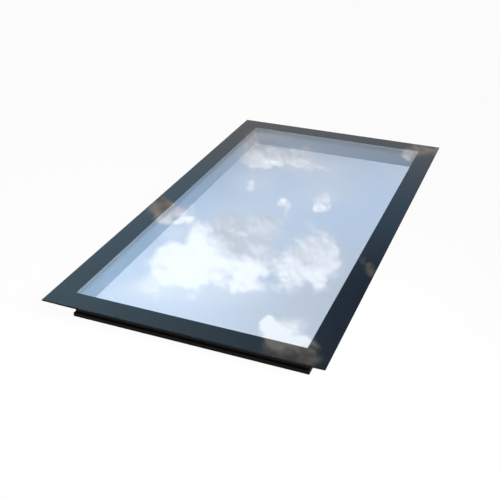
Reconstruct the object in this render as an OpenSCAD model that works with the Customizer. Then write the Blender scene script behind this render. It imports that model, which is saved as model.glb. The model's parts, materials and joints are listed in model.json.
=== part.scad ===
// Fixed flat-glass rooflight: a stepped double-glazed unit with a black border, bonded to a
// slim thermally broken frame whose leg drops inside the kerb of a flat roof.
// Sections are drawn once, as (setback, height): the setback is measured outwards from the
// sight line, the edge of the clear view, and the height upwards from the foot of the leg.

/* [Glass unit] */
// Width of the clear view
clear_w = 1000; // [600:10:1500]
// Length of the clear view
clear_l = 2000; // [700:10:3000]
// Width of the black border round the clear view
border_w = 100; // [85:1:150]
// Thickness of the border layer
border_t = 0.3; // [0.2:0.1:0.5]
// Clear edge left outside the border layer
border_edge = 1; // [0.5:0.5:3]
// Thickness of the outer pane
outer_pane_t = 6; // [4:0.5:12]
// Gap between the two panes
cavity_h = 16; // [12:1:24]
// Thickness of the inner pane
inner_pane_t = 6; // [4:0.5:12]
// Ground arris along the edges of both panes
arris = 1; // [0.5:0.25:1.5]

/* [Edge seal] */
// Setback of the spacer bar from the sight line
spacer_setback = 2; // [1:0.5:4]
// Width of the spacer bar
spacer_w = 7; // [6:0.5:9]
// Bevel of the spacer bar's two back shoulders
spacer_shoulder = 2; // [1:0.5:2]
// Wall of the spacer bar
spacer_wall = 0.6; // [0.4:0.1:1]
// Breather gap in the spacer bar's cavity side
breather_gap = 1.2; // [0.8:0.1:2]
// Gap between the desiccant and the spacer bar's walls
desiccant_clear = 0.2; // [0.1:0.1:0.5]
// Thickness of each butyl seal
butyl_t = 0.4; // [0.2:0.1:0.8]
// Width of each butyl seal
butyl_w = 4; // [2.5:0.5:4]
// Width of the secondary seal behind the spacer bar
seal_w = 8; // [6:0.5:12]

/* [Carrier frame] */
// Gap between the inner pane's edge and the carrier
edge_gap = 3; // [2:0.5:5]
// Width of the carrier's box
carrier_w = 40; // [38:1:50]
// Wall of the carrier
carrier_wall = 2; // [1.6:0.1:3]
// Thickness of the shelf under the inner pane
shelf_t = 3; // [2:0.5:5]
// Thickness of the bond between the carrier and the outer pane
bond_h = 6; // [4:0.5:8]
// Margin of the bond from the carrier's sides
bond_margin = 2; // [1:0.5:3]
// Width of the glazing tape
tape_w = 12; // [9:1:14]
// Width of the structural silicone
silicone_w = 20; // [12:1:22]
// Thickness of the tape and the finishing bead under the inner pane
bed_t = 3; // [2:0.5:5]
// Width of the tape under the inner pane
bed_w = 9; // [6:0.5:10]
// Setback of that tape from the shelf's nose
bed_inset = 1; // [0.5:0.5:2]
// Length of each location block
block_l = 60; // [40:5:100]
// Height of each location block
block_h = 14; // [8:1:16]
// Distance of the location blocks from the corners of the clear view
block_inset = 120; // [80:10:200]
// Clearance beside a location block
block_clear = 0.1; // [0.05:0.05:0.3]

/* [Kerb gasket] */
// Width of the gasket's hollow foot
gasket_w = 14; // [10:1:18]
// Height of the gasket's hollow foot
gasket_h = 5; // [4:0.5:8]
// Wall of the gasket's hollow foot
gasket_wall = 1.2; // [0.8:0.1:1.5]
// Width of the gasket's groove inside
groove_w = 8; // [7:0.5:10]
// Width of the groove's mouth
groove_mouth = 4; // [3:0.5:5]
// Depth of the groove behind its mouth
groove_d = 3; // [2:0.5:4]
// Clearance of the gasket in its groove
gasket_clear = 0.2; // [0.1:0.05:0.4]

/* [Thermal break] */
// Open height between the leg and the carrier
break_gap = 12; // [8:1:24]
// Thickness of a break strip
break_t = 1.8; // [1.4:0.1:2]
// Width of the dovetail head on a break strip's edges
break_head_w = 3; // [2.6:0.1:3.2]
// Depth of that dovetail head
break_head_d = 3.6; // [2.5:0.1:4]
// Width of the groove lips beside the dovetails
break_lip = 1.2; // [1:0.1:1.4]
// Clearance round a dovetail
break_clear = 0.1; // [0.05:0.05:0.15]

/* [Leg frame] */
// Height of the leg from its foot to the thermal break
leg_h = 61; // [55:1:90]
// Setback of the leg's inner face from the sight line
leg_setback = 5; // [4.5:0.5:8]
// Depth of the leg's bead and head
leg_depth = 11; // [10.5:0.5:14]
// Thickness of the leg's web
web_t = 3; // [2:0.5:5]
// Wall of the leg's bead and head
leg_wall = 1.6; // [1.2:0.1:2]
// Height of the bead along the foot
bead_h = 19; // [16:1:24]
// Rounding of the bead's outer top corner
bead_round = 6; // [3:0.5:8]
// Height of the head that holds the break strips
head_h = 17; // [15:1:20]
// Space left at a mitred corner
mitre_gap = 0.2; // [0.1:0.05:0.4]

/* [Liner] */
// Thickness of the liner
liner_t = 1.5; // [1:0.1:2]
// Clearance between the liner's flanges and the frame
liner_clear = 0.2; // [0.1:0.05:0.4]
// Space between the liner's back and the clip channels
clip_gap = 1; // [0.6:0.1:1.4]
// Height of a clip channel inside
clip_w = 4; // [3.6:0.1:5]
// Thickness of a clip channel's ribs
clip_rib = 1.2; // [1:0.1:1.5]
// Reach and thickness of the lips on the ribs
clip_lip = 0.8; // [0.6:0.1:0.9]
// Thickness of the liner's clip stem
clip_stem = 1.2; // [1:0.1:1.4]
// Clearance of the clip in its channel
clip_clear = 0.2; // [0.1:0.05:0.3]

/* [Corner cleats] */
// Length of a carrier cleat's arms, from the corner
carrier_cleat_l = 110; // [90:5:160]
// Wall round the pockets in a carrier cleat
cleat_wall = 5; // [4:0.5:8]
// Length of a leg cleat's arms, from the corner
leg_cleat_l = 60; // [40:5:90]
// Clearance of a cleat in its chamber
cleat_clear = 0.2; // [0.1:0.05:0.4]

/* [Fixings] */
// Diameter of the fixing holes through the leg's web
fix_hole_d = 5.5; // [4:0.5:8]
// Distance of the end holes from the corners of the clear view
fix_inset = 150; // [100:10:250]
// Holes in each long side
long_fixings = 4; // [2:1:8]
// Holes in each short side
short_fixings = 2; // [2:1:6]

/* [Hidden] */
$fn = 48;
SIDES = ["right", "back", "left", "front"];
CORNERS = [["front_left", -1, -1], ["front_right", 1, -1], ["back_left", -1, 1], ["back_right", 1, 1]];

// Heights
break_groove_d = break_head_d + break_clear;
carrier_z = leg_h + break_gap;
block_body_h = break_groove_d + leg_wall;
shelf_z = carrier_z + block_body_h + shelf_t;
inner_pane_z = shelf_z + bed_t;
cavity_z = inner_pane_z + inner_pane_t;
outer_pane_z = cavity_z + cavity_h;
border_z = outer_pane_z - border_t;
carrier_top = border_z - bond_h;
spacer_z = cavity_z + butyl_t;
spacer_h = border_z - butyl_t - spacer_z;
gasket_groove_top = carrier_z + carrier_wall + groove_d;
bead_cleat_top = bead_h - max(leg_wall, bead_round) - cleat_clear;
head_z = leg_h - head_h;
head_chamber_top = leg_h - break_groove_d - leg_wall;

// Setbacks from the sight line
spacer_back = spacer_setback + spacer_w;
butyl_in = spacer_setback + (spacer_w - spacer_shoulder - butyl_w) / 2;
butyl_out = butyl_in + butyl_w;
unit_edge = spacer_back + seal_w;
bed_in = leg_setback + bed_inset;
box_in = max(unit_edge + edge_gap, leg_setback + leg_depth);
box_out = box_in + carrier_w;
box_mid = (box_in + box_out) / 2;
leg_out = leg_setback + leg_depth;
web_out = leg_setback + web_t;
break_groove_w = break_head_w + 2 * break_clear;
break_mouth_w = break_t + 2 * break_clear;
break_in = leg_setback + break_lip + break_groove_w / 2;
break_out = leg_out - break_lip - break_groove_w / 2;
clip_tip = liner_t + clip_gap;
clip_heights = [bead_h / 2, leg_h - head_h / 2];

// Slack that lets a cut run past the face it opens
past = 1;

// Black powder coat
module black_coat() {
    color([0.13, 0.135, 0.14]) children();
}

// A box ring round the clear view, between two setbacks
module ring(s_in, s_out, z, h) {
    translate([0, 0, z])
        linear_extrude(h)
            difference() {
                square([clear_w + 2 * s_out, clear_l + 2 * s_out], center = true);
                square([clear_w + 2 * s_in, clear_l + 2 * s_in], center = true);
            }
}

// A slab that reaches past the clear view by one setback
module slab(s_out, z, h) {
    translate([0, 0, z])
        linear_extrude(h)
            square([clear_w + 2 * s_out, clear_l + 2 * s_out], center = true);
}

// Section of a slab whose edges are bevelled at 45 degrees, above and below
module bevelled_section(half, z, h, cut) {
    top = z + h;
    polygon([[cut - half, z], [half - cut, z], [half, z + cut], [half, top - cut],
             [half - cut, top], [cut - half, top], [-half, top - cut], [-half, z + cut]]);
}

// A slab with bevelled edges that reaches past the clear view by one setback
module bevelled_slab(s_out, z, h, cut) {
    w = clear_w + 2 * s_out;
    l = clear_l + 2 * s_out;
    intersection() {
        rotate([90, 0, 0]) linear_extrude(l, center = true) bevelled_section(w / 2, z, h, cut);
        rotate([90, 0, 90]) linear_extrude(w, center = true) bevelled_section(l / 2, z, h, cut);
    }
}

// A rectangle in the section, between two setbacks and two heights
module patch(s_in, s_out, z_low, z_high) {
    translate([s_in, z_low]) square([s_out - s_in, z_high - z_low]);
}

function is_long(side) = side == "left" || side == "right";
function side_turn(side) = 90 * search([side], SIDES)[0];
function half_span(side) = (is_long(side) ? clear_w : clear_l) / 2;
function half_run(side) = (is_long(side) ? clear_l : clear_w) / 2;

// Plan of one side, cut to the mitres at both ends
module mitre_plan(side) {
    near = -border_w / 2;
    far = border_w;
    trim = mitre_gap / sqrt(2);
    run = half_run(side) - trim;
    translate([half_span(side), 0])
        polygon([[near, -run - near], [far, -run - far], [far, run + far], [near, run + near]]);
}

// Runs a section along one side of the clear view
module along(side) {
    rotate(side_turn(side))
        intersection() {
            translate([half_span(side), 0, 0])
                rotate([90, 0, 0])
                    linear_extrude(2 * (half_run(side) + border_w), center = true)
                        children();
            translate([0, 0, -gasket_h - past])
                linear_extrude(outer_pane_z + gasket_h + 2 * past)
                    mitre_plan(side);
        }
}

// Places a piece made for the back right corner at any corner
module at_corner(corner) {
    mirror([corner[1] < 0 ? 1 : 0, 0, 0])
        mirror([0, corner[2] < 0 ? 1 : 0, 0])
            translate([clear_w / 2, clear_l / 2, 0])
                children();
}

// Glass unit

module outer_pane() {
    color([0.75, 0.85, 0.95, 0.35]) bevelled_slab(border_w, outer_pane_z, outer_pane_t, arris);
}

module border_layer() {
    color([0.05, 0.055, 0.06]) ring(0, border_w - max(border_edge, arris), border_z, border_t);
}

// The spacer bar's outline, or one set inside it by an even wall
module spacer_outline(inset) {
    difference() {
        bevelled_slab(spacer_back - inset, spacer_z + inset, spacer_h - 2 * inset,
                      spacer_shoulder - (2 - sqrt(2)) * inset);
        slab(spacer_setback + inset, spacer_z - past, spacer_h + 2 * past);
    }
}

module spacer_bar() {
    color([0.72, 0.73, 0.75])
        difference() {
            spacer_outline(0);
            spacer_outline(spacer_wall);
            ring(spacer_setback - past, spacer_setback + spacer_wall + past,
                 spacer_z + (spacer_h - breather_gap) / 2, breather_gap);
        }
}

module desiccant() {
    color([0.85, 0.8, 0.7]) spacer_outline(spacer_wall + desiccant_clear);
}

module butyl(z) {
    color([0.1, 0.1, 0.1]) ring(butyl_in, butyl_out, z, butyl_t);
}

module butyl_upper() {
    butyl(border_z - butyl_t);
}

module butyl_lower() {
    butyl(cavity_z);
}

module secondary_seal() {
    color([0.15, 0.15, 0.15])
        difference() {
            ring(butyl_out, unit_edge, cavity_z, border_z - cavity_z);
            bevelled_slab(spacer_back, spacer_z, spacer_h, spacer_shoulder);
        }
}

module inner_pane() {
    color([0.75, 0.85, 0.95, 0.35]) bevelled_slab(unit_edge, inner_pane_z, inner_pane_t, arris);
}

// Bonds and seals

module glazing_tape() {
    color([0.2, 0.2, 0.2])
        ring(box_in + bond_margin, box_in + bond_margin + tape_w, carrier_top, bond_h);
}

module structural_silicone() {
    edge = box_in + bond_margin + tape_w;
    color([0.08, 0.08, 0.08]) ring(edge, edge + silicone_w, carrier_top, bond_h);
}

module inner_tape() {
    color([0.2, 0.2, 0.2]) ring(bed_in, bed_in + bed_w, shelf_z, bed_t);
}

module inner_bead() {
    color([0.9, 0.9, 0.9]) ring(0, bed_in, shelf_z, bed_t);
}

module location_blocks() {
    color([0.25, 0.3, 0.35])
        for (side = SIDES, end = [-1, 1])
            rotate(side_turn(side))
                translate([half_span(side) + unit_edge + block_clear,
                           end * (half_run(side) - block_inset) - block_l / 2, shelf_z])
                    cube([box_in - unit_edge - 2 * block_clear, block_l, block_h]);
}

// Carrier frame

// Dovetail grooves for the break strips, with their mouths at one height, cut up or down from it
module break_grooves(z, down) {
    mouth = break_mouth_w / 2;
    head = break_groove_w / 2;
    for (s = [break_in, break_out])
        translate([s, z])
            mirror([0, down])
                polygon([[-mouth, -past], [mouth, -past], [mouth, 0],
                         [head, break_groove_d], [-head, break_groove_d], [-mouth, 0]]);
}

module gasket_groove() {
    patch(box_mid - groove_mouth / 2, box_mid + groove_mouth / 2,
          carrier_z - past, carrier_z + carrier_wall + past);
    patch(box_mid - groove_w / 2, box_mid + groove_w / 2, carrier_z + carrier_wall, gasket_groove_top);
}

module carrier_section() {
    difference() {
        union() {
            patch(box_in, box_out, carrier_z, carrier_top);
            patch(leg_setback, box_in + carrier_wall, shelf_z - shelf_t, shelf_z);
            patch(leg_setback, leg_out, carrier_z, shelf_z);
        }
        difference() {
            patch(box_in + carrier_wall, box_out - carrier_wall,
                  carrier_z + carrier_wall, carrier_top - carrier_wall);
            patch(box_mid - groove_w / 2 - carrier_wall, box_mid + groove_w / 2 + carrier_wall,
                  carrier_z, gasket_groove_top + carrier_wall);
        }
        gasket_groove();
        break_grooves(carrier_z, 0);
    }
}

module carrier(side) {
    black_coat() along(side) carrier_section();
}

// The gasket's foot: a flat tube with round sides, or the hollow in it, one wall inside
module gasket_foot(inset) {
    round_r = gasket_h / 2;
    reach = gasket_w / 2 - round_r;
    patch(box_mid - reach, box_mid + reach, carrier_z - gasket_h + inset, carrier_z - inset);
    for (end = [-1, 1])
        translate([box_mid + end * reach, carrier_z - round_r]) circle(round_r - inset);
}

module gasket(side) {
    head_w = groove_w - 2 * gasket_clear;
    neck_w = groove_mouth - 2 * gasket_clear;
    color([0.07, 0.07, 0.07])
        along(side)
            difference() {
                union() {
                    gasket_foot(0);
                    patch(box_mid - neck_w / 2, box_mid + neck_w / 2,
                          carrier_z - gasket_clear, gasket_groove_top - gasket_clear);
                    patch(box_mid - head_w / 2, box_mid + head_w / 2,
                          carrier_z + carrier_wall + gasket_clear, gasket_groove_top - gasket_clear);
                }
                gasket_foot(gasket_wall);
            }
}

module carrier_cleat(corner) {
    low = box_in + carrier_wall + cleat_clear;
    high = box_out - carrier_wall - cleat_clear;
    base = gasket_groove_top + carrier_wall + cleat_clear;
    pocket_l = carrier_cleat_l - (high - low) - 2 * cleat_wall;
    color([0.6, 0.6, 0.62])
        at_corner(corner)
            translate([0, 0, base])
                linear_extrude(carrier_top - carrier_wall - cleat_clear - base)
                    difference() {
                        cleat_plan(low, high, carrier_cleat_l);
                        for (flip = [0, 1])
                            mirror([flip, -flip])
                                translate([low + cleat_wall, high - carrier_cleat_l + cleat_wall])
                                    square([high - low - 2 * cleat_wall, pocket_l]);
                    }
}

// L-shaped plan of a cleat between two setbacks
module cleat_plan(low, high, arm) {
    translate([low, high - arm]) square([high - low, arm]);
    translate([high - arm, low]) square([arm, high - low]);
}

// Thermal break

module break_strip(s, side) {
    half_gap = break_gap / 2;
    half_h = half_gap + break_head_d;
    half_t = break_t / 2;
    half_w = break_head_w / 2;
    color([0.12, 0.12, 0.12])
        along(side)
            translate([s, leg_h + half_gap])
                polygon([[-half_w, -half_h], [half_w, -half_h], [half_t, -half_gap], [half_t, half_gap],
                         [half_w, half_h], [-half_w, half_h], [-half_t, half_gap], [-half_t, -half_gap]]);
}

// Leg frame

module bead_outline() {
    difference() {
        patch(leg_setback, leg_out, 0, bead_h);
        translate([leg_out - bead_round, bead_h - bead_round])
            difference() {
                square(bead_round + past);
                circle(bead_round);
            }
    }
}

module bead_chamber() {
    inner_round = max(bead_round - leg_wall, leg_wall);
    difference() {
        patch(leg_setback + leg_wall, leg_out - leg_wall, leg_wall, bead_h - leg_wall);
        translate([leg_out - leg_wall - inner_round, bead_h - leg_wall - inner_round])
            difference() {
                square(inner_round + past);
                circle(inner_round);
            }
    }
}

// Channel on the leg's inner face that a liner clip snaps into
module clip_channel(z) {
    half = clip_w / 2;
    for (flip = [0, 1])
        translate([0, z])
            mirror([0, flip]) {
                patch(clip_tip, leg_setback + leg_wall / 2, half, half + clip_rib);
                patch(clip_tip, clip_tip + clip_lip, half - clip_lip, half + clip_rib);
            }
}

module leg_section() {
    difference() {
        union() {
            bead_outline();
            patch(leg_setback, web_out, 0, leg_h);
            patch(leg_setback, leg_out, head_z, leg_h);
            for (z = clip_heights) clip_channel(z);
        }
        bead_chamber();
        patch(leg_setback + leg_wall, leg_out - leg_wall, head_z + leg_wall, head_chamber_top);
        break_grooves(leg_h, 1);
    }
}

// Heights and places of the fixing holes through one leg's web
module fixing_holes(side) {
    count = is_long(side) ? long_fixings : short_fixings;
    reach = half_run(side) - fix_inset;
    rotate(side_turn(side))
        for (i = [0 : count - 1])
            translate([half_span(side) + leg_setback - past,
                       reach * (2 * i / (count - 1) - 1), (bead_h + head_z) / 2])
                rotate([0, 90, 0])
                    cylinder(d = fix_hole_d, h = web_t + 2 * past);
}

module leg(side) {
    black_coat()
        difference() {
            along(side) leg_section();
            fixing_holes(side);
        }
}

// A cleat in one of the leg's chambers
module leg_cleat(corner, z_low, z_high) {
    inset = leg_wall + cleat_clear;
    color([0.6, 0.6, 0.62])
        at_corner(corner)
            translate([0, 0, z_low])
                linear_extrude(z_high - z_low)
                    cleat_plan(leg_setback + inset, leg_out - inset, leg_cleat_l);
}

module bead_cleat(corner) {
    leg_cleat(corner, leg_wall + cleat_clear, bead_cleat_top);
}

module head_cleat(corner) {
    leg_cleat(corner, head_z + leg_wall + cleat_clear, head_chamber_top - cleat_clear);
}

// Liner

// Arrow-headed clip on the liner's back
module liner_clip(z) {
    head_in = clip_tip + clip_lip + clip_clear;
    head_out = leg_setback - clip_clear;
    half = clip_w / 2 - 2 * clip_clear;
    translate([0, z]) {
        patch(liner_t / 2, head_out, -clip_stem / 2, clip_stem / 2);
        polygon([[head_in, -half], [head_out, -clip_stem / 2], [head_out, clip_stem / 2], [head_in, half]]);
    }
}

module liner_section() {
    patch(0, liner_t, 0, shelf_z);
    for (z = [0, shelf_z - liner_t])
        patch(0, leg_setback - liner_clear, z, z + liner_t);
    for (z = clip_heights) liner_clip(z);
}

module liner(side) {
    color([0.93, 0.93, 0.92]) along(side) union() liner_section();
}

// Nodes

outer_pane();
border_layer();
spacer_bar();
desiccant();
butyl_upper();
butyl_lower();
secondary_seal();
inner_pane();
glazing_tape();
structural_silicone();
inner_tape();
inner_bead();
location_blocks();
for (side = SIDES) {
    carrier(side);
    gasket(side);
    break_strip(break_out, side);
    break_strip(break_in, side);
    leg(side);
    liner(side);
}
for (corner = CORNERS) {
    carrier_cleat(corner);
    bead_cleat(corner);
    head_cleat(corner);
}
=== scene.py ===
"""Looks of a fixed flat-glass roof skylight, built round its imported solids."""
import json
import math

import bpy
from mathutils import Euler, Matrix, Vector


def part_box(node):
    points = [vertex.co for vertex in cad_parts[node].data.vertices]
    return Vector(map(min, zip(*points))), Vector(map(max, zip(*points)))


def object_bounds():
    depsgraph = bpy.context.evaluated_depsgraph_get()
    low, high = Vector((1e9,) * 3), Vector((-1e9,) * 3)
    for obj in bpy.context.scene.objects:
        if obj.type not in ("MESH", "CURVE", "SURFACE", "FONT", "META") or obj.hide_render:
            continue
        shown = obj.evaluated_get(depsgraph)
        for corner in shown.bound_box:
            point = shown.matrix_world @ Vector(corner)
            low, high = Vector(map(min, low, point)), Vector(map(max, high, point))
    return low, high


WHITE = (1.0, 1.0, 1.0, 1.0)

# Camera, fitted to the corners of the glass in the photograph
LENS = 57.31
SENSOR = 36.0
CAMERA_TILT = math.radians(60.07)
CAMERA_TURN = math.radians(22.04)
CAMERA_X = 1.1924
CAMERA_Y = -3.2784
CAMERA_ABOVE_GLASS = 1.7811
FRAME_PIXELS = 500.0
FOCAL_PIXELS = LENS / SENSOR * FRAME_PIXELS
DEGREES_PER_PIXEL = math.degrees(1.0 / FOCAL_PIXELS)

# Floor, and how white it looks outside the glass
FLOOR_SIZE = 80.0
FLOOR_DROP = 0.0005
FLOOR_COLOUR = (0.82, 0.82, 0.82, 1.0)
FLOOR_WHITE_SHARE = 0.96

# Floor seen through the glass, with painted light and shade: its white falls off along Y, from near to far
NEAR_FLOOR_WHITE = 1.0
FAR_FLOOR_WHITE = 0.58
FALL_START = -0.8
FALL_END = 1.0

# Painted light and shade: beyond a middle line it is brighter on the right, and on the near side of that
# line it is darker there
FLOOR_TWIST = 0.34
TWIST_MIDDLE = -0.3

# Painted shade along the left side
LEFT_SHADE = 0.9
LEFT_SHADE_START = -0.2
LEFT_SHADE_FULL = -0.55

# Painted shade: the floor is a little darker and warmer in the near right corner
PAINTED_CORNER_SHADE = (0.93, 0.895, 0.855, 1.0)
CORNER_LEFT = -0.2
CORNER_RIGHT = 0.35
CORNER_NEAR = -0.75
CORNER_FAR = 0.4

# Lamp, and the plain light of the room
PLAIN_LIGHT = 0.22
KEY_PLACE = (1.6, -1.8, 1.6)
KEY_AIM = (-0.4, -0.8, 0.05)
KEY_SIZE = 1.2
KEY_SPREAD = math.radians(85.0)
KEY_POWER = 32.0

# Glass: its tint, the lamp light that each surface lets through, its faint wave, and its near-black edges,
# which are the faces whose normals are less upright than a limit
GLASS_TINT = (0.82, 0.88, 0.96, 1.0)
PANE_PASSES = (0.67, 0.69, 0.71, 1.0)
WAVE_SCALE = 2.2
WAVE_DEPTH = 0.0002
NEAR_BLACK_EDGE = (0.005, 0.0055, 0.0055, 1.0)
FLATTEST_EDGE = 0.9

# Width of the small bevel that softens each slot's edges, in metres
EDGES = {
    "frame_black": 0.0004,
    "liner_white": 0.0003,
    "bead_white": 0.0005,
    "block_plastic": 0.0004,
    "cleat_metal": 0.0003,
}
BEVEL_STEPS = 2
BEVEL_ANGLE = math.radians(30.0)
MERGE_DISTANCE = 0.00001

# Start of the names of the drilled pieces, which stay sharp: a bevel would fold the thin faces beside
# their holes
DRILLED = "leg_"

# Slots of the pieces that are bonded to glass, and how far they grow into it, so that the bond doesn't
# mirror
BONDED = ("border_black", "butyl_black", "tape_grey", "bead_white")
BOND_DEPTH = 0.00002

# Sky that the glass mirrors: blue on the left and right of the main view, deeper high up on the right
SKY_LEFT = (0.66, 1.02, 1.32, 1.0)
SKY_RIGHT = (0.34, 0.53, 0.77, 1.0)
SKY_RIGHT_HIGH = (0.16, 0.26, 0.41, 1.0)
LEFT_BLUE_END = -0.22
RIGHT_BLUE_START = 0.14
DEEPER_FROM = 26.0
DEEPEST_FROM = 33.0

# Haze low down, full below one elevation and gone above another, in degrees
SKY_HAZE = (0.68, 0.71, 0.75, 1.0)
LOW_HAZE_FULL = 20.5
LOW_HAZE_GONE = 27.0

# Clouds: their tones, the noise that breaks up their outlines and their bodies, and the step towards the sun
# that gives them relief
CLOUD_LIT = (2.18, 2.05, 1.92, 1.0)
CLOUD_SHADE = (0.58, 0.53, 0.47, 1.0)
SUN_STEP = (-0.0015, -0.0029, 0.0037)
RELIEF = 2.0
SWIRL_SCALE = 45.0
SWIRL_DETAIL = 4.0
SWIRL_DEGREES = 1.7
NOISE_MIDDLE = 0.5
FLUFF_SCALE = 34.0
FLUFF_DETAIL = 4.0
FLUFF_ROUGHNESS = 0.55
FLUFF_LOW = 0.3
FLUFF_HIGH = 0.7
FLUFF_GAIN = 0.32

# Depth in a puff: full near its middle and gone further out, in its half widths
PUFF_FULL = 0.15
PUFF_GONE = 2.05
LEAST_DEPTH = 0.001

# Cover at which a cloud starts to hide the blue, and at which it hides all of it, in shade and in sunlight
VEIL_START = 0.12
VEIL_FULL_SHADE = 0.98
VEIL_FULL_SUN = 0.8

# Clouds elsewhere in the sky, which only other views see: pixel at the middle of the main view's own clouds,
# how far from it they start and are full, in degrees, their noise and their share of sunlight
OWN_CLOUDS_MIDDLE = (250, 235)
ELSEWHERE_START = 24.0
ELSEWHERE_FULL = 36.0
ELSEWHERE_SCALE = 5.0
ELSEWHERE_DETAIL = 3.0
ELSEWHERE_CLEAR = 0.48
ELSEWHERE_SOLID = 0.68
ELSEWHERE_SUNLIGHT = 0.75

# Clouds as round puffs, placed where the photograph shows them mirrored in the glass, in its pixels:
# across, down, half width, half height, density and share of sunlight
MAIN_HEAP = [
    (166, 259, 14, 10, 1.0, 1.25),
    (186, 262, 16, 15, 1.0, 1.25),
    (198, 243, 8, 13, 1.0, 1.25),
    (207, 231, 4, 5, 0.65, 1.0),
    (207, 268, 13, 11, 1.0, 1.25),
    (195, 278, 16, 5.5, 0.85, 1.25),
    (240, 274, 9, 11, 1.0, 1.25),
    (250, 275, 10, 12, 1.0, 1.25),
    (262, 268, 8, 6, 0.8, 0.8),
    (213, 251, 9, 10, 1.0, 1.25),
    (224, 263, 11, 9, 0.95, 1.1),
    (160, 275, 9, 5, 0.6, 1.25),
]
GREY_BODY = [
    (228, 236, 16, 16, 0.9, 0.1),
    (252, 226, 22, 12, 0.85, 0.15),
    (236, 250, 14, 9, 0.9, 0.0),
    (262, 250, 14, 12, 0.7, 0.1),
    (268, 230, 10, 13, 0.5, 0.15),
    (243, 232, 8, 2.5, 0.6, 0.7),
    (259, 250, 7, 4, 0.9, 0.8),
]
RIGHT_HEAP = [
    (296, 259, 12, 10, 0.9, 0.25),
    (318, 255, 14, 13, 0.9, 0.3),
    (316, 239, 7, 11, 0.7, 0.3),
    (287, 268, 9, 8, 1.0, 1.1),
    (298, 275, 10, 8, 0.9, 0.9),
    (320, 277, 8, 12, 1.0, 0.95),
    (332, 264, 8, 10, 0.8, 0.6),
    (274, 262, 10, 9, 0.65, 0.3),
]
NEAR_CLOUDS = [
    (268, 322, 5, 8, 1.0, 1.4),
    (273, 334, 9, 9, 1.0, 1.4),
    (284, 339, 16, 9, 1.0, 1.4),
    (299, 341, 12, 4.5, 1.0, 1.2),
    (292, 325, 14, 7, 0.6, 0.4),
    (286, 353, 20, 6, 0.8, 0.45),
    (304, 358, 13, 7, 0.75, 0.35),
    (316, 356, 8, 7, 0.3, 0.3),
    (372, 268, 5, 4, 0.6, 0.3),
]

# Smooth mist, which lies behind the clouds
HAZE = [
    (238, 236, 38, 26, 0.4, 0.2),
    (316, 267, 20, 18, 0.22, 0.45),
    (215, 294, 46, 11, 0.24, 0.85),
    (160, 288, 34, 9, 0.3, 0.95),
    (147, 286, 9, 5, 0.4, 1.0),
    (292, 162, 40, 10, 0.3, 0.4),
    (320, 186, 34, 17, 0.28, 0.5),
    (262, 205, 34, 14, 0.2, 0.4),
    (254, 180, 20, 10, 0.32, 0.6),
    (175, 232, 13, 8, 0.3, 0.8),
]

# Thin ragged cloud round the heaps, and smaller clouds
WISPS = [
    (228, 248, 40, 30, 0.34, 0.1),
    (319, 262, 22, 22, 0.34, 0.5),
    (195, 286, 44, 8, 0.34, 0.95),
    (292, 289, 26, 8, 0.3, 0.8),
    (290, 161, 42, 10, 0.32, 0.45),
]
SMALL_PUFFS = [
    (252, 187, 5, 3.5, 0.75, 0.7),
    (281, 202, 3, 3.5, 0.8, 0.9),
    (286, 209, 3.5, 6, 0.7, 0.6),
    (322, 199, 9, 7, 0.8, 0.35),
    (317, 206, 3, 3.5, 1.0, 1.0),
    (323, 208, 5, 2.5, 0.9, 0.9),
]
FAR_CLOUDS = [
    (260, 156, 13, 8, 0.9, 0.5),
    (282, 156, 14, 5, 0.85, 0.36),
    (300, 157, 8, 6, 0.75, 0.4),
    (258, 161, 5, 3, 0.85, 0.6),
    (269, 166, 5, 3, 0.9, 0.85),
    (279, 165, 5, 2.5, 0.9, 0.8),
    (292, 160, 6, 3, 0.8, 0.5),
    (325, 166, 9, 3, 0.5, 0.4),
    (252, 143, 14, 9, 0.8, 0.2),
    (285, 138, 20, 8, 0.45, 0.12),
    (412, 153, 7, 4, 0.9, 0.5),
    (428, 152, 12, 7, 0.85, 0.28),
]
LEFT_CLOUDS = [
    (163, 220, 8, 4, 1.0, 1.0),
    (176, 222, 4, 2.5, 0.9, 1.0),
    (184, 219, 7, 3, 1.0, 1.0),
    (174, 211, 13, 7, 0.85, 0.5),
    (154, 211, 7, 5, 1.0, 0.7),
    (165, 205, 8, 5, 0.8, 0.35),
]
CLOUDS = (
    MAIN_HEAP + GREY_BODY + RIGHT_HEAP + NEAR_CLOUDS
    + WISPS + SMALL_PUFFS + FAR_CLOUDS + LEFT_CLOUDS
)

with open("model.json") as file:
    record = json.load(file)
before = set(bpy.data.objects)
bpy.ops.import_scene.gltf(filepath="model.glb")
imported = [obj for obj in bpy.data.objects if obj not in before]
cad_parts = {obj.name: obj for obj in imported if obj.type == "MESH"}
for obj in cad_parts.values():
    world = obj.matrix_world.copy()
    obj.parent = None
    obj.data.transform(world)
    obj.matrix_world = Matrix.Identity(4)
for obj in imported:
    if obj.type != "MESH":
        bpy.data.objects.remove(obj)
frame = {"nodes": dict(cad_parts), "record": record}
cad_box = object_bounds()
nodes = frame["nodes"]
glass_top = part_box("outer_pane")[1].z


# Shader nodes


def add(tree, kind, inputs=None, **settings):
    """A new shader node, with its settings and inputs: a value, or a socket to link from."""
    node = tree.nodes.new("ShaderNode" + kind)
    for key, value in settings.items():
        setattr(node, key, value)
    for key, value in (inputs or {}).items():
        if isinstance(value, bpy.types.NodeSocket):
            tree.links.new(value, node.inputs[key])
        else:
            node.inputs[key].default_value = value
    return node


def maths(tree, operation, first, second=0.0, clamp=False):
    """The result of one sum on two numbers or sockets."""
    node = add(tree, "Math", {0: first, 1: second}, operation=operation, use_clamp=clamp)
    return node.outputs[0]


def vectors(tree, operation, first, second):
    """The node of one sum on two vectors."""
    return add(tree, "VectorMath", {0: first, 1: second}, operation=operation)


def blend_colours(tree, share, first, second):
    """A colour between two, by share."""
    node = add(tree, "Mix", {0: share, 6: first, 7: second}, data_type="RGBA")
    return node.outputs[2]


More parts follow.
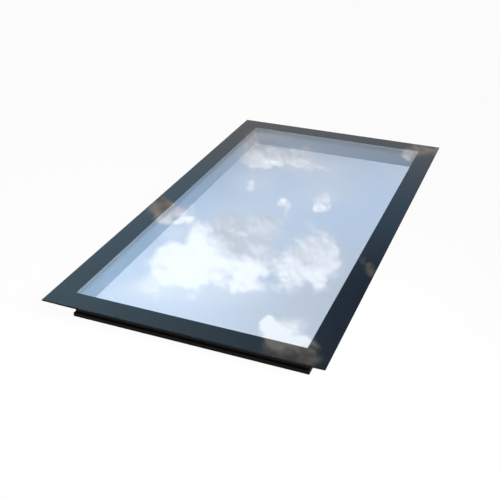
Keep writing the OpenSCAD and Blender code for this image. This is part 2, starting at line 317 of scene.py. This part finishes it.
def blend_shaders(tree, share, first, second):
    """A shader node between two, by share."""
    return add(tree, "MixShader", {0: share, 1: first.outputs[0], 2: second.outputs[0]})


def remap(tree, value, low, high, to_low=0.0, to_high=1.0, kind="SMOOTHSTEP"):
    """value, moved from one range to another and kept inside it."""
    limits = {"Value": value, "From Min": low, "From Max": high, "To Min": to_low, "To Max": to_high}
    return add(tree, "MapRange", limits, interpolation_type=kind).outputs[0]


def noise(tree, place, scale, detail=2.0, roughness=0.5):
    """A noise value from 0 to 1."""
    settings = {"Vector": place, "Scale": scale, "Detail": detail, "Roughness": roughness}
    return add(tree, "TexNoise", settings).outputs["Fac"]


def bump(tree, height, depth):
    """A normal that follows a height from 0 to 1, of that depth in metres."""
    return add(tree, "Bump", {"Height": height, "Distance": depth}).outputs[0]


def stretched(tree, place, scale):
    """A place, scaled along each axis by itself."""
    return add(tree, "Mapping", {"Vector": place, "Scale": scale}).outputs[0]


def start_material(name):
    """An empty node material, its tree, its output and its place in the object's own metres."""
    material = bpy.data.materials.new(name)
    material.use_nodes = True
    tree = material.node_tree
    tree.nodes.clear()
    output = add(tree, "OutputMaterial")
    place = add(tree, "TexCoord").outputs["Object"]
    return material, tree, output, place


# Materials


def coated(name, colour, rough, grain, depth, mottle=0.12, rough_play=0.08, specular=0.5):
    """A plain coated, moulded or rubber surface: fine grain, faint mottling and uneven gloss."""
    material, tree, output, place = start_material(name)
    grains_per_mottle = 60.0
    fine = noise(tree, place, grain, detail=3.0, roughness=0.6)
    broad = noise(tree, place, grain / grains_per_mottle)
    darker = tuple(c * (1.0 - mottle) for c in colour) + (1.0,)
    lighter = tuple(min(1.0, c * (1.0 + mottle)) for c in colour) + (1.0,)
    tone = blend_colours(tree, remap(tree, broad, low=0.3, high=0.7), darker, lighter)
    gloss = remap(tree, fine, low=0.25, high=0.75, to_low=rough - rough_play, to_high=rough + rough_play)
    shader = add(tree, "BsdfPrincipled", {
        "Base Color": tone,
        "Roughness": gloss,
        "Specular IOR Level": specular,
        "Normal": bump(tree, fine, depth),
    })
    tree.links.new(shader.outputs[0], output.inputs[0])
    return material


def glass(name):
    """Clear float glass that lets the lamp's light through, with near-black edge faces."""
    material, tree, output, place = start_material(name)
    wave = noise(tree, place, WAVE_SCALE, detail=1.0)
    body = add(tree, "BsdfPrincipled", {
        "Base Color": GLASS_TINT,
        "Roughness": 0.0,
        "IOR": 1.5,
        "Transmission Weight": 1.0,
        "Normal": bump(tree, wave, WAVE_DEPTH),
    })
    edge_shader = add(tree, "BsdfPrincipled", {
        "Base Color": NEAR_BLACK_EDGE,
        "Roughness": 0.6,
        "Specular IOR Level": 0.1,
    })
    facing = add(tree, "SeparateXYZ", {0: add(tree, "NewGeometry").outputs["True Normal"]}).outputs["Z"]
    at_edge = maths(tree, "LESS_THAN", maths(tree, "ABSOLUTE", facing), FLATTEST_EDGE)
    pane = blend_shaders(tree, at_edge, body, edge_shader)
    open_way = add(tree, "BsdfTransparent", {"Color": PANE_PASSES})
    lamp_ray = add(tree, "LightPath").outputs["Is Shadow Ray"]
    both = blend_shaders(tree, lamp_ray, pane, open_way)
    tree.links.new(both.outputs[0], output.inputs[0])
    return material


def spacer_metal(name):
    """Satin roll-formed metal, with fine lines along the bar and a row of breather pinholes."""
    material, tree, output, place = start_material(name)
    pinhole_share = 0.6
    lines = noise(tree, stretched(tree, place, (4.0, 4.0, 900.0)), scale=1.0)
    pinholes = add(tree, "TexVoronoi", {"Vector": place, "Scale": 320.0, "Randomness": 0.0})
    hole = remap(tree, pinholes.outputs["Distance"], low=0.10, high=0.16, to_low=1.0, to_high=0.0)
    tone = blend_colours(tree, lines, (0.38, 0.40, 0.43, 1.0), (0.50, 0.52, 0.55, 1.0))
    pitted = blend_colours(tree, maths(tree, "MULTIPLY", hole, pinhole_share), tone, (0.08, 0.08, 0.09, 1.0))
    shader = add(tree, "BsdfPrincipled", {
        "Base Color": pitted,
        "Roughness": remap(tree, lines, low=0.2, high=0.8, to_low=0.32, to_high=0.5),
        "Metallic": 0.6,
        "Normal": bump(tree, lines, depth=0.0001),
    })
    tree.links.new(shader.outputs[0], output.inputs[0])
    return material


def mill_metal(name):
    """Mill-finish extrusion with die lines."""
    material, tree, output, place = start_material(name)
    lines = noise(tree, stretched(tree, place, (1400.0, 1400.0, 20.0)), scale=1.0)
    tone = blend_colours(tree, lines, (0.48, 0.48, 0.49, 1.0), (0.66, 0.66, 0.67, 1.0))
    shader = add(tree, "BsdfPrincipled", {
        "Base Color": tone,
        "Roughness": remap(tree, lines, low=0.2, high=0.8, to_low=0.35, to_high=0.55),
        "Metallic": 1.0,
        "Normal": bump(tree, lines, depth=0.00005),
    })
    tree.links.new(shader.outputs[0], output.inputs[0])
    return material


def bead_fill(name):
    """Small round desiccant beads, with painted shade in the gaps between them."""
    material, tree, output, place = start_material(name)
    cells = add(tree, "TexVoronoi", {"Vector": place, "Scale": 700.0})
    height = remap(tree, cells.outputs["Distance"], low=0.0, high=0.6, to_low=1.0, to_high=0.0)
    # Painted shade: lighter at each bead's middle, darker in the gaps between beads
    tone = blend_colours(tree, height, (0.35, 0.29, 0.2, 1.0), (0.66, 0.58, 0.46, 1.0))
    shader = add(tree, "BsdfPrincipled", {
        "Base Color": tone,
        "Roughness": 0.8,
        "Normal": bump(tree, height, depth=0.0006),
    })
    tree.links.new(shader.outputs[0], output.inputs[0])
    return material


LOOKS = {
    "glass": glass("float_glass"),
    "border_black": coated(
        "black_enamel", colour=(0.004, 0.0042, 0.0045), rough=0.5, grain=900.0, depth=0.00001,
        mottle=0.2, rough_play=0.05, specular=0.0,
    ),
    "frame_black": coated(
        "black_powder_coat", colour=(0.005, 0.0045, 0.0036), rough=0.5, grain=700.0, depth=0.00006,
        specular=0.08,
    ),
    "liner_white": coated(
        "white_liner", colour=(0.80, 0.81, 0.82), rough=0.38, grain=500.0, depth=0.00003, mottle=0.02,
    ),
    "spacer_grey": spacer_metal("spacer_metal"),
    "desiccant_beads": bead_fill("desiccant_beads"),
    "butyl_black": coated(
        "butyl", colour=(0.012, 0.012, 0.012), rough=0.4, grain=300.0, depth=0.00008,
    ),
    "silicone_black": coated(
        "black_silicone", colour=(0.014, 0.014, 0.0145), rough=0.45, grain=200.0, depth=0.0001,
    ),
    "tape_grey": coated(
        "foam_tape", colour=(0.03, 0.03, 0.032), rough=0.85, grain=1200.0, depth=0.0002,
    ),
    "bead_white": coated(
        "white_bead", colour=(0.72, 0.73, 0.74), rough=0.5, grain=300.0, depth=0.00006, mottle=0.03,
    ),
    "gasket_black": coated(
        "gasket_rubber", colour=(0.012, 0.012, 0.012), rough=0.6, grain=500.0, depth=0.00008,
    ),
    "break_black": coated(
        "glass_filled_plastic", colour=(0.013, 0.013, 0.014), rough=0.6, grain=1500.0, depth=0.00008,
        mottle=0.3,
    ),
    "cleat_metal": mill_metal("mill_metal"),
    "block_plastic": coated(
        "block_plastic", colour=(0.05, 0.075, 0.1), rough=0.45, grain=400.0, depth=0.00005,
    ),
}


# Dressing of the solids


def merge_points(piece):
    """Joins the points that the solid's faces share."""
    weld = piece.modifiers.new("weld", "WELD")
    weld.merge_threshold = MERGE_DISTANCE


def soften(piece, width):
    """Rounds the solid's sharp edges a little."""
    merge_points(piece)
    bevel = piece.modifiers.new("soft_edges", "BEVEL")
    bevel.width = width
    bevel.segments = BEVEL_STEPS
    bevel.limit_method = "ANGLE"
    bevel.angle_limit = BEVEL_ANGLE
    bevel.harden_normals = True


def bond(piece):
    """Grows the solid by the bond's depth, into the glass that it is bonded to."""
    merge_points(piece)
    growth = piece.modifiers.new("bond", "DISPLACE")
    growth.strength = BOND_DEPTH
    growth.mid_level = 0.0


def dress(node, slot_name):
    """Gives one solid its material, and the soft edges or the bond of its slot."""
    piece = nodes[node]
    piece.data.materials.clear()
    piece.data.materials.append(LOOKS[slot_name])
    if slot_name in EDGES and not node.startswith(DRILLED):
        soften(piece, EDGES[slot_name])
    if slot_name in BONDED:
        bond(piece)


for row in frame["record"]["subparts"]:
    dress(row["node"], row["material_slot"])


# Floor, sky, lamp and camera


def painted_light_through_glass(tree, spot):
    """How white the floor looks through the glass at a spot: painted light and shade."""
    fall = remap(tree, spot["Y"], FALL_START, FALL_END, NEAR_FLOOR_WHITE, FAR_FLOOR_WHITE, "LINEAR")
    lean = maths(tree, "MULTIPLY", spot["X"], maths(tree, "SUBTRACT", spot["Y"], TWIST_MIDDLE))
    tilted = maths(tree, "ADD", fall, maths(tree, "MULTIPLY", lean, FLOOR_TWIST), clamp=True)
    side_shade = remap(tree, spot["X"], LEFT_SHADE_FULL, LEFT_SHADE_START, LEFT_SHADE, 1.0)
    return maths(tree, "MULTIPLY", tilted, side_shade)


def make_floor():
    """A plain pale floor, white to the camera with a faint shadow, and painted light and shade through
    glass.
    """
    bpy.ops.mesh.primitive_plane_add(size=FLOOR_SIZE, location=(0.0, 0.0, cad_box[0][2] - FLOOR_DROP))
    floor = bpy.context.object
    floor.name = "floor"
    material, tree, output, place = start_material("floor_pale")
    path = add(tree, "LightPath").outputs
    through_glass = path["Is Transmission Ray"]
    spot = add(tree, "SeparateXYZ", {0: place}).outputs
    open_air = maths(tree, "MAXIMUM", path["Is Camera Ray"], path["Is Glossy Ray"])
    plain_share = maths(tree, "MULTIPLY", open_air, FLOOR_WHITE_SHARE)
    glazed_share = painted_light_through_glass(tree, spot)
    share = add(tree, "Mix", {0: through_glass, 2: plain_share, 3: glazed_share}).outputs[0]
    # Painted shade in the near right corner, seen only through the glass
    rightness = remap(tree, spot["X"], CORNER_LEFT, CORNER_RIGHT)
    nearness = remap(tree, spot["Y"], CORNER_NEAR, CORNER_FAR, 1.0, 0.0)
    corner = maths(tree, "MULTIPLY", maths(tree, "MULTIPLY", rightness, nearness), through_glass)
    lit = add(tree, "BsdfDiffuse", {"Color": FLOOR_COLOUR})
    bright = add(tree, "Emission", {"Color": blend_colours(tree, corner, WHITE, PAINTED_CORNER_SHADE)})
    both = blend_shaders(tree, share, lit, bright)
    tree.links.new(both.outputs[0], output.inputs[0])
    floor.data.materials.append(material)


def mirrored_angles(across, down):
    """Azimuth and elevation, in degrees, of the sky that the main view sees mirrored at a pixel."""
    middle = FRAME_PIXELS / 2.0
    ray = Vector(((across - middle) / FOCAL_PIXELS, (middle - down) / FOCAL_PIXELS, -1.0)).normalized()
    ray.rotate(Euler((CAMERA_TILT, 0.0, CAMERA_TURN)))
    return math.degrees(math.atan2(ray.x, ray.y)), math.degrees(math.asin(-ray.z))


def cloud_cover(tree, place, clouds):
    """How deep inside some clouds a place in the sky lies, from 0 to 1, and its share of sunlight."""
    gap, total, lit = 1.0, 0.0, 0.0
    for across, down, half_width, half_height, density, sunlight in clouds:
        azimuth, elevation = mirrored_angles(across, down)
        width = half_width * DEGREES_PER_PIXEL / math.cos(math.radians(elevation))
        height = half_height * DEGREES_PER_PIXEL
        local = add(tree, "Mapping", {
            "Vector": place,
            "Location": (azimuth, elevation, 0.0),
            "Scale": (width, height, 1.0),
        }, vector_type="TEXTURE").outputs[0]
        reach = add(tree, "VectorMath", {0: local}, operation="LENGTH").outputs["Value"]
        depth = remap(tree, reach, PUFF_FULL, PUFF_GONE, density, 0.0)
        gap = maths(tree, "MULTIPLY", gap, maths(tree, "SUBTRACT", 1.0, depth))
        total = maths(tree, "ADD", total, depth)
        lit = maths(tree, "ADD", lit, maths(tree, "MULTIPLY", depth, sunlight))
    cover = maths(tree, "SUBTRACT", 1.0, gap)
    return cover, maths(tree, "DIVIDE", lit, maths(tree, "MAXIMUM", total, LEAST_DEPTH))


def cover_elsewhere(tree, direction):
    """Broken cloud over the part of the sky that the main view doesn't see mirrored."""
    azimuth, elevation = (math.radians(angle) for angle in mirrored_angles(*OWN_CLOUDS_MIDDLE))
    flat = math.cos(elevation)
    middle = (flat * math.sin(azimuth), flat * math.cos(azimuth), math.sin(elevation))
    nearness = vectors(tree, "DOT_PRODUCT", direction, middle).outputs["Value"]
    apart = maths(tree, "DEGREES", maths(tree, "ARCCOSINE", nearness))
    mask = remap(tree, apart, ELSEWHERE_START, ELSEWHERE_FULL)
    lumps = noise(tree, direction, ELSEWHERE_SCALE, ELSEWHERE_DETAIL)
    heaps = remap(tree, lumps, ELSEWHERE_CLEAR, ELSEWHERE_SOLID)
    return maths(tree, "MULTIPLY", mask, heaps)


def blue_sky(tree, direction, elevation):
    """The sky behind the clouds, from the left of the main view to its right, with haze low down."""
    rightward = (math.cos(CAMERA_TURN), math.sin(CAMERA_TURN), 0.0)
    sideways = vectors(tree, "DOT_PRODUCT", direction, rightward).outputs["Value"]
    right_share = remap(tree, sideways, LEFT_BLUE_END, RIGHT_BLUE_START, kind="LINEAR")
    deep_share = remap(tree, elevation, DEEPER_FROM, DEEPEST_FROM)
    right_blue = blend_colours(tree, deep_share, SKY_RIGHT, SKY_RIGHT_HIGH)
    blue = blend_colours(tree, right_share, SKY_LEFT, right_blue)
    haze_share = remap(tree, elevation, LOW_HAZE_FULL, LOW_HAZE_GONE, 1.0, 0.0)
    return blend_colours(tree, haze_share, blue, SKY_HAZE)


def cloudy_sky(tree, direction, elevation):
    """The colour of the sky in a direction: blue, then smooth mist, then ragged clouds."""
    ray = add(tree, "SeparateXYZ", {0: direction}).outputs
    azimuth = maths(tree, "DEGREES", maths(tree, "ARCTAN2", ray["X"], ray["Y"]))
    place = add(tree, "CombineXYZ", {"X": azimuth, "Y": elevation}).outputs[0]
    blue = blue_sky(tree, direction, elevation)
    mist, mist_sunlight = cloud_cover(tree, place, HAZE)
    misty = blend_colours(tree, mist, blue, blend_colours(tree, mist_sunlight, CLOUD_SHADE, CLOUD_LIT))

    swirl_inputs = {"Vector": direction, "Scale": SWIRL_SCALE, "Detail": SWIRL_DETAIL}
    swirl = add(tree, "TexNoise", swirl_inputs).outputs["Color"]
    offset = vectors(tree, "SUBTRACT", swirl, (NOISE_MIDDLE, NOISE_MIDDLE, NOISE_MIDDLE)).outputs[0]
    shift = add(tree, "VectorMath", {0: offset, "Scale": SWIRL_DEGREES}, operation="SCALE").outputs[0]
    ragged = vectors(tree, "ADD", place, shift).outputs[0]
    own_cover, own_sunlight = cloud_cover(tree, ragged, CLOUDS)
    elsewhere = cover_elsewhere(tree, direction)
    cover = maths(tree, "MAXIMUM", own_cover, elsewhere)
    sunlight = maths(tree, "MAXIMUM", own_sunlight, maths(tree, "MULTIPLY", elsewhere, ELSEWHERE_SUNLIGHT))

    fluff = noise(tree, direction, FLUFF_SCALE, FLUFF_DETAIL, FLUFF_ROUGHNESS)
    sunward = vectors(tree, "ADD", direction, SUN_STEP).outputs[0]
    sunward_fluff = noise(tree, sunward, FLUFF_SCALE, FLUFF_DETAIL, FLUFF_ROUGHNESS)
    relief = maths(tree, "MULTIPLY", maths(tree, "SUBTRACT", fluff, sunward_fluff), RELIEF)
    light = maths(tree, "ADD", sunlight, relief, clamp=True)
    lumps = remap(tree, fluff, FLUFF_LOW, FLUFF_HIGH, -FLUFF_GAIN, FLUFF_GAIN, "LINEAR")
    thick = maths(tree, "ADD", cover, lumps)
    veil_full = remap(tree, light, 0.0, 1.0, VEIL_FULL_SHADE, VEIL_FULL_SUN)
    veil = remap(tree, thick, VEIL_START, veil_full)
    return blend_colours(tree, veil, misty, blend_colours(tree, light, CLOUD_SHADE, CLOUD_LIT))


def make_sky():
    """Plain light for matt surfaces, white for the camera, and a cloudy sky in the glass."""
    world = bpy.data.worlds.new("sky")
    bpy.context.scene.world = world
    world.use_nodes = True
    tree = world.node_tree
    tree.nodes.clear()
    direction = add(tree, "TexCoord").outputs["Generated"]
    height = add(tree, "SeparateXYZ", {0: direction}).outputs["Z"]
    elevation = maths(tree, "DEGREES", maths(tree, "ARCSINE", height))
    path = add(tree, "LightPath").outputs
    first_bounce = 0.5
    mirrored = maths(tree, "MAXIMUM", path["Is Glossy Ray"], path["Is Transmission Ray"])
    direct = maths(tree, "LESS_THAN", path["Diffuse Depth"], first_bounce)
    upward = maths(tree, "GREATER_THAN", height, 0.0)
    sees_sky = maths(tree, "MULTIPLY", maths(tree, "MULTIPLY", mirrored, direct), upward)
    plain = add(tree, "Background", {"Color": WHITE, "Strength": PLAIN_LIGHT})
    bright = add(tree, "Background", {"Color": WHITE, "Strength": 1.0})
    clouds = add(tree, "Background", {"Color": cloudy_sky(tree, direction, elevation), "Strength": 1.0})
    unseen = blend_shaders(tree, sees_sky, plain, clouds)
    shown = blend_shaders(tree, path["Is Camera Ray"], unseen, bright)
    output = add(tree, "OutputWorld")
    tree.links.new(shown.outputs[0], output.inputs[0])


def make_key_lamp():
    """One large soft lamp, aimed at the near end of the clear view and left out of reflections."""
    data = bpy.data.lights.new("key_lamp", "AREA")
    data.size = KEY_SIZE
    data.spread = KEY_SPREAD
    data.energy = KEY_POWER
    lamp = bpy.data.objects.new("key_lamp", data)
    bpy.context.scene.collection.objects.link(lamp)
    lamp.location = KEY_PLACE
    aim = Vector(KEY_AIM) - lamp.location
    lamp.rotation_euler = aim.to_track_quat("-Z", "Y").to_euler()
    lamp.visible_glossy = False
    lamp.visible_transmission = False


def make_camera():
    """The camera at the photograph's viewing angle."""
    data = bpy.data.cameras.new("camera")
    data.lens = LENS
    data.sensor_width = SENSOR
    camera = bpy.data.objects.new("camera", data)
    bpy.context.scene.collection.objects.link(camera)
    camera.location = (CAMERA_X, CAMERA_Y, glass_top + CAMERA_ABOVE_GLASS)
    camera.rotation_euler = (CAMERA_TILT, 0.0, CAMERA_TURN)
    bpy.context.scene.camera = camera


make_floor()
make_sky()
make_key_lamp()
make_camera()
bpy.context.scene.view_settings.view_transform = "Standard"
